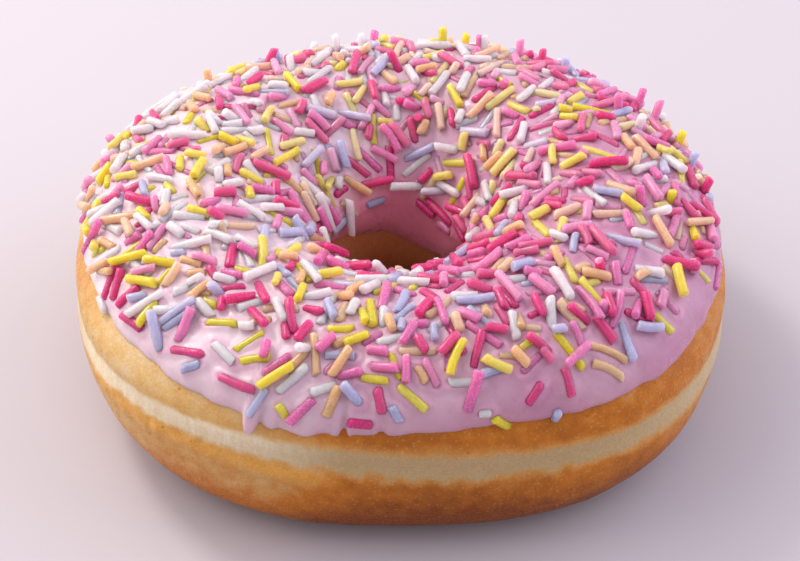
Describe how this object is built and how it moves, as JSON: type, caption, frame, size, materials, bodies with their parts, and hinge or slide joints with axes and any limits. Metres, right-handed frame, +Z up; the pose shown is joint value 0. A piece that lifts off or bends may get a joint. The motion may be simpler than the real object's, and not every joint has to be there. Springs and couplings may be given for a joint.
{
  "type": "sprinkle frosted ring doughnut",
  "caption": "Ring doughnut of fried dough with a flat base, a pale line round its waist, and a coat of icing with sprinkles over its top and down into its hole.",
  "frame": {"origin": "on the ground under the middle of the doughnut's outline", "axes": "+Z up through the hole, +X along the longest width, -Y to the front"},
  "size_m": [0.0914, 0.0878, 0.0318],
  "materials": {
    "fried_crust": "dry fried crust, golden to brown, with a cream line round the waist",
    "pink_icing": "soft set sugar icing, lilac pink, satin",
    "sprinkle_white": "polished sugar strand, white",
    "sprinkle_yellow": "polished sugar strand, yellow",
    "sprinkle_peach": "polished sugar strand, peach",
    "sprinkle_lilac": "polished sugar strand, lilac",
    "sprinkle_pink": "polished sugar strand, pink",
    "sprinkle_crimson": "polished sugar strand, crimson"
  },
  "bodies": {
    "root": {"dough_ring": "fried_crust", "icing": "pink_icing"}
  },
  "joints": []
}
